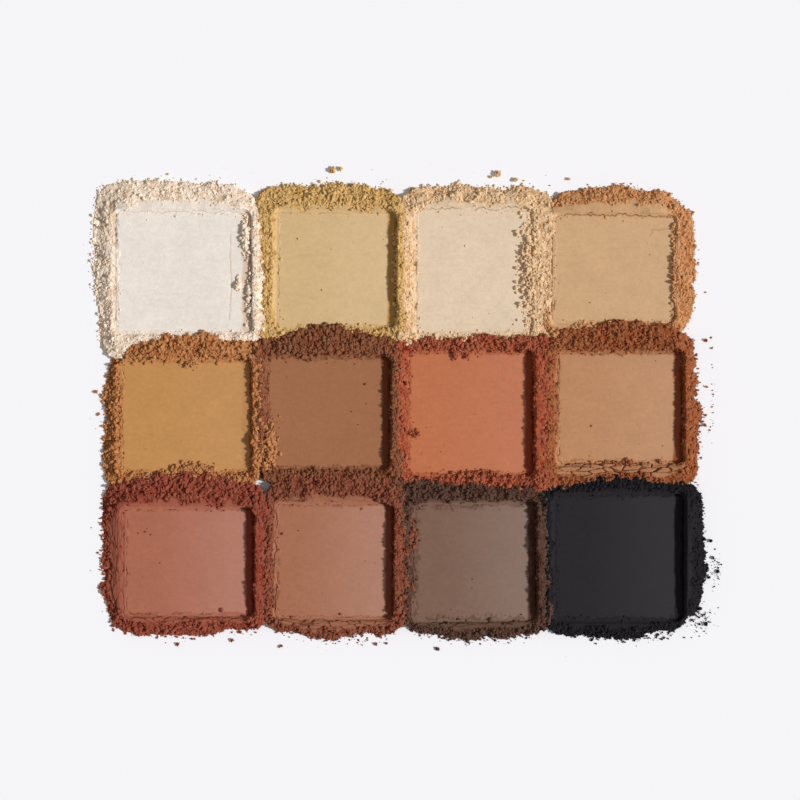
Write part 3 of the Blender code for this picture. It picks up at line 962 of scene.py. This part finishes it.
def distance_to_line(plan, points):
    """How far each place in plan is from a line through several points."""
    nearest = np.full(len(plan), 1.0)
    for start, end in zip(points, points[1:]):
        run = end - start
        share = np.clip((plan - start) @ run / (run @ run), 0.0, 1.0)
        nearest = np.minimum(nearest, np.linalg.norm(plan - start - share[:, None] * run, axis=1))
    return nearest


def cracked_face(name, points):
    """1 on a shade's cracks, and how deep they are."""
    on_crack = np.zeros(len(points))
    depth = 0.0
    ragged = warp(points, 0.8 * MM, (60, 61)) * 0.18 * MM
    for crack in CRACKS:
        if crack.shade == name:
            line = [from_cake(name, *point) for point in crack.points]
            away = distance_to_line(points[:, :2] + ragged, line)
            on_crack = np.maximum(on_crack, 0.6 * (1.0 - ramp(away, 0.02 * MM, 0.15 * MM)))
            depth = crack.depth
    return on_crack, depth


def face_relief(name, points, seed):
    """Height of the pressed face over its plane, and its painted shade and dust value."""
    low, high = node_box(f"{name}_cake")
    height = wave(points, *FACE_SWELL, seed)
    height += wave(points, *FACE_WAVES, seed + 1)
    height += wave(points * STREAK_STRETCH, *FACE_STREAKS, seed + 2)
    height += wave(points, *FACE_GRAIN, seed + 6)
    first, _, number = grains(points, PIT_SPACING, seed + 3)
    pits = np.clip(1.0 - first / PIT_RADIUS, 0.0, 1.0) * (number > PITS_MISSING)
    on_crack, depth = cracked_face(name, points)
    height -= PIT_DEPTH * pits + depth * on_crack
    inset = np.minimum(points[:, :2] - low[:2], high[:2] - points[:, :2]).min(axis=1)
    ragged = wave(points, *RAGGED_EDGE, seed + 8)
    height -= EDGE_DROP * ramp(ragged - inset, 0.0, 0.2 * MM)
    specks = wave(points, *FINE_SPECKS, seed + 4) + wave(points, *BROAD_SPECKS, seed + 7)
    worn = 0.5 * ramp(specks + 0.8 - 1.7 * inset / SHADES[name].dusted, 0.0, 0.7)
    # Painted shadow: a strip along the +X wall takes the colour of the wall's shadow, ends unevenly,
    # and is left off where the wall is worn low
    to_wall = high[0] - points[:, 0] + wave(points, *WALL_SHADOW_WANDER, seed + 5)
    loose = 0.85 * (1.0 - ramp(to_wall, WALL_SHADOW_STRIP - 0.3 * MM, WALL_SHADOW_STRIP + 0.2 * MM))
    loose *= 1.0 - ramp(SHADES[name].worn[0], 0.0, 0.3)
    # Painted shade in pits and cracks, dust along the edge, and the painted shadow strip, as one value
    return height, np.clip(0.5 * pits + on_crack + worn + loose, 0.0, 1.0)


def make_cake(name, seed):
    """The pressed face as a fine sheet, closed below by a skirt and a base."""
    low, high = node_box(f"{name}_cake")
    x = np.arange(low[0] - TUCK, high[0] + TUCK, PANEL_STEP)
    y = np.arange(low[1] - TUCK, high[1] + TUCK, PANEL_STEP)
    plan = np.stack(np.meshgrid(x, y, indexing="ij"), axis=2).reshape(-1, 2)
    points = np.concatenate([plan, np.full((len(plan), 1), PANEL_TOP)], axis=1)
    height, gap = face_relief(name, points, seed)
    points[:, 2] += height
    index = np.arange(len(plan)).reshape(len(x), len(y))
    quads = np.stack([index[:-1, :-1], index[1:, :-1], index[1:, 1:], index[:-1, 1:]], axis=2)
    rim = np.concatenate([index[:-1, 0], index[-1, :-1], index[:0:-1, -1], index[0, :0:-1]])
    below = points[rim] * (1.0, 1.0, 0.0) + (0.0, 0.0, CAKE_BASE)
    ring = len(points) + np.arange(len(rim))
    skirt = np.stack([rim, ring, np.roll(ring, -1), np.roll(rim, -1)], axis=1)
    hub = len(points) + len(rim)
    middle = np.array([[x.mean(), y.mean(), CAKE_BASE]])
    everything = np.concatenate([points, below, middle])
    edge_gap = np.full(len(rim) + 1, 0.5)
    cake = mesh_object(
        f"{name}_pressed_cake",
        everything,
        np.concatenate([quads.reshape(-1, 4), skirt]),
        gap=np.concatenate([gap, edge_gap]),
    )
    close_base(cake.data, ring, hub)
    return cake


def close_base(mesh, ring, hub):
    work = bmesh.new()
    work.from_mesh(mesh)
    work.verts.ensure_lookup_table()
    for first, second in zip(ring, np.roll(ring, -1)):
        work.faces.new((work.verts[second], work.verts[first], work.verts[hub]))
    bmesh.ops.recalc_face_normals(work, faces=work.faces)
    work.to_mesh(mesh)
    work.free()


# -------------------------------- materials

# How dark the painted shade of broken powder is, as a share of its colour
GAP_SHADE_SHARE = 0.78
SHEEN_FROM = 0.12
SPECULAR = 0.12
POWDER_SCATTER = 0.6
FLOOR_COLOUR = (0.92, 0.91, 0.938, 1.0)

# How much the tone of single crumbs varies, and how dark the painted shade in a crack is
TONES = (0.88, 1.12)
CRACK_SHADE_SHARE = 0.45


def painted_gap_shade(shade):
    """Painted shade: broken powder's colour far down in gaps, where light has bounced more than once.
    """
    strongest = max(shade.crumbled)
    return tuple(GAP_SHADE_SHARE * part * (part / strongest) ** shade.depth for part in shade.crumbled)


class Builder:
    """Adds nodes to one material."""

    def __init__(self, name, roughness):
        self.material = bpy.data.materials.new(name)
        self.material.use_nodes = True
        self.tree = self.material.node_tree
        self.shader = self.tree.nodes["Principled BSDF"]
        self.shader.inputs["Roughness"].default_value = roughness
        self.shader.inputs["Specular IOR Level"].default_value = SPECULAR
        self.shader.inputs["Diffuse Roughness"].default_value = POWDER_SCATTER
        self.place = self.tree.nodes.new("ShaderNodeTexCoord").outputs["Object"]

    def link(self, source, socket):
        if isinstance(source, (int, float)):
            socket.default_value = source
        elif isinstance(source, tuple):
            socket.default_value = source
        else:
            self.tree.links.new(source, socket)

    def maths(self, operation, first, second):
        node = self.tree.nodes.new("ShaderNodeMath")
        node.operation = operation
        self.link(first, node.inputs[0])
        self.link(second, node.inputs[1])
        return node.outputs["Value"]

    def vector(self, operation, first, second):
        node = self.tree.nodes.new("ShaderNodeVectorMath")
        node.operation = operation
        self.link(first, node.inputs[0])
        self.link(second, node.inputs["Scale"] if operation == "SCALE" else node.inputs[1])
        return node.outputs["Vector"]

    def spread(self, value, low, high, to_low, to_high, kind="LINEAR"):
        node = self.tree.nodes.new("ShaderNodeMapRange")
        node.interpolation_type = kind
        self.link(value, node.inputs["Value"])
        limits = (("From Min", low), ("From Max", high), ("To Min", to_low), ("To Max", to_high))
        for label, number in limits:
            node.inputs[label].default_value = number
        return node.outputs["Result"]

    def attribute(self, label):
        node = self.tree.nodes.new("ShaderNodeAttribute")
        node.attribute_name = label
        return node.outputs["Fac"]

    def noise(self, scale, detail=3.0, stretch=(1.0, 1.0, 1.0)):
        node = self.tree.nodes.new("ShaderNodeTexNoise")
        node.inputs["Scale"].default_value = scale
        node.inputs["Detail"].default_value = detail
        self.link(self.vector("MULTIPLY", self.place, stretch), node.inputs["Vector"])
        return node.outputs["Fac"]

    def mottled(self, strength, scale, stretch=(1.0, 1.0, 1.0)):
        """Noise round 0, as strong as the strength given."""
        return self.spread(self.noise(scale, 3.0, stretch), 0.3, 0.7, -strength, strength)

    def between(self, share, first, second):
        node = self.tree.nodes.new("ShaderNodeMix")
        node.data_type = "RGBA"
        self.link(share, node.inputs["Factor"])
        self.link(first, node.inputs[6])
        self.link(second, node.inputs[7])
        return node.outputs[2]

    def bump(self, scale, depth, strength):
        node = self.tree.nodes.new("ShaderNodeBump")
        node.inputs["Strength"].default_value = strength
        node.inputs["Distance"].default_value = depth
        self.link(self.noise(scale), node.inputs["Height"])
        self.link(node.outputs["Normal"], self.shader.inputs["Normal"])

    def colour(self, source):
        self.link(source, self.shader.inputs["Base Color"])


def crumbled_powder(name):
    """Broken powder: each crumb a little different, deeper in patches, painted shade in gaps and
    cracks.
    """
    shade = SHADES[name]
    made = Builder(f"{name}_crumbled", 0.95)
    patches = made.spread(made.noise(450.0, 2.0), 0.45, 0.7, 0.0, 0.3)
    share = made.maths("MAXIMUM", made.attribute("gap"), patches)
    base = made.between(share, (*shade.crumbled, 1.0), (*painted_gap_shade(shade), 1.0))
    base = made.between(made.attribute("face"), base, (*shade.pressed, 1.0))
    tone = made.spread(made.attribute("tone"), 0.0, 1.0, *TONES)
    tone = made.maths("ADD", tone, made.mottled(0.08, 4000.0))
    tone = made.maths("MULTIPLY", tone, made.spread(made.attribute("shut"), 0.0, 1.0, 1.0, CRACK_SHADE_SHARE))
    made.colour(made.vector("SCALE", base, tone))
    made.bump(7000.0, 0.04 * MM, 0.3)
    return made.material


def pressed_powder(name):
    """The burnished face: faintly clouded and streaked, worn along its edge, with painted sheen at +X.
    """
    shade = SHADES[name]
    low, high = node_box(f"{name}_cake")
    made = Builder(f"{name}_pressed", 0.8)
    clouds = made.maths("ADD", made.mottled(0.025, 260.0), made.mottled(0.035, 1300.0))
    grain = made.maths("ADD", made.mottled(0.05, 5000.0), made.mottled(0.02, 1100.0, (0.4, 1.6, 1.0)))
    factor = made.maths("ADD", made.maths("ADD", clouds, grain), 1.0)
    split = made.tree.nodes.new("ShaderNodeSeparateXYZ")
    made.link(made.place, split.inputs["Vector"])
    # Painted sheen: the face is made paler towards +X, where the key light's broad reflection falls
    start = low[0] + SHEEN_FROM * (high[0] - low[0])
    sheen = made.spread(split.outputs["X"], start, high[0], 0.0, shade.painted_sheen, "SMOOTHSTEP")
    face = made.vector("SCALE", (*shade.pressed,), factor)
    face = made.vector("ADD", face, sheen)
    # Pits, cracks and the +X strip take painted shade here, and the dusted edge takes the same colour
    made.colour(made.between(made.attribute("gap"), face, (*painted_gap_shade(shade), 1.0)))
    made.bump(5000.0, 0.03 * MM, 0.35)
    return made.material


def floor_material():
    made = Builder("floor", 0.9)
    made.colour(FLOOR_COLOUR)
    made.shader.inputs["Diffuse Roughness"].default_value = 0.0
    return made.material


# -------------------------------- stage, light and camera

VIEW_WIDTH = 149.1 * MM
LENS_MM = 85.0
SENSOR_MM = 36.0
VIEW_CENTRE = (-0.8 * MM, 1.6 * MM)
SUN_ELEVATION = math.radians(37.0)
SUN_AZIMUTH = math.radians(-8.0)
SUN_ANGLE = math.radians(5.0)
FILL = 0.3
FLOOR_SIZE = 3.0
FLOOR_DROP = 0.02 * MM


def make_stage():
    bpy.ops.mesh.primitive_plane_add(size=FLOOR_SIZE, location=(0.0, 0.0, -FLOOR_DROP))
    floor = bpy.context.object
    floor.name = "floor"
    floor.data.materials.append(floor_material())


def make_light():
    """Even fill from all round and one soft sun, together as bright on level ground as white."""
    world = bpy.data.worlds.new("studio")
    bpy.context.scene.world = world
    world.use_nodes = True
    background = world.node_tree.nodes["Background"]
    background.inputs["Color"].default_value = (1.0, 1.0, 1.0, 1.0)
    background.inputs["Strength"].default_value = FILL
    key = bpy.data.lights.new("key", "SUN")
    key.energy = math.pi * (1.0 - FILL) / math.sin(SUN_ELEVATION)
    key.angle = SUN_ANGLE
    lamp = bpy.data.objects.new("key", key)
    level = math.cos(SUN_ELEVATION)
    north = level * math.sin(SUN_AZIMUTH)
    toward = Vector((level * math.cos(SUN_AZIMUTH), north, math.sin(SUN_ELEVATION)))
    lamp.rotation_euler = toward.to_track_quat("Z", "Y").to_euler()
    bpy.context.scene.collection.objects.link(lamp)


def make_camera():
    camera = bpy.data.cameras.new("camera")
    camera.lens = LENS_MM
    camera.sensor_width = SENSOR_MM
    camera.clip_start = 0.01
    holder = bpy.data.objects.new("camera", camera)
    holder.location = (*VIEW_CENTRE, VIEW_WIDTH * LENS_MM / SENSOR_MM)
    bpy.context.scene.collection.objects.link(holder)
    bpy.context.scene.camera = holder


# -------------------------------- the whole layout

def finish_piece(piece, material, slot, *nodes):
    piece.data.materials.append(material)
    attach(piece, "root")
    if nodes:
        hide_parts(*nodes)


def make_shade(name, seed):
    loose = crumbled_powder(name)
    rim, grid, points, normals, rough = make_rim(name, seed)
    finish_piece(rim, loose, f"{name}_crumbled", f"{name}_rim")
    for crumbs in make_crumbs(name, grid, points, normals, rough, seed + 20):
        finish_piece(crumbs, loose, f"{name}_crumbled")
    cake = make_cake(name, seed + 40)
    finish_piece(cake, pressed_powder(name), f"{name}_pressed", f"{name}_cake")
    clods = [node for node in sorted(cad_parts) if node.startswith(f"{name}_crumb_")]
    for number, node in enumerate(clods):
        finish_piece(make_clod(node, seed + 60 + number), loose, f"{name}_crumbled", node)


def main():
    scene = bpy.context.scene
    scene.view_settings.view_transform = "Standard"
    scene.cycles.diffuse_bounces = 8
    make_stage()
    make_light()
    make_camera()
    for number, name in enumerate(SHADES):
        make_shade(name, 100 * number + 7)


main()
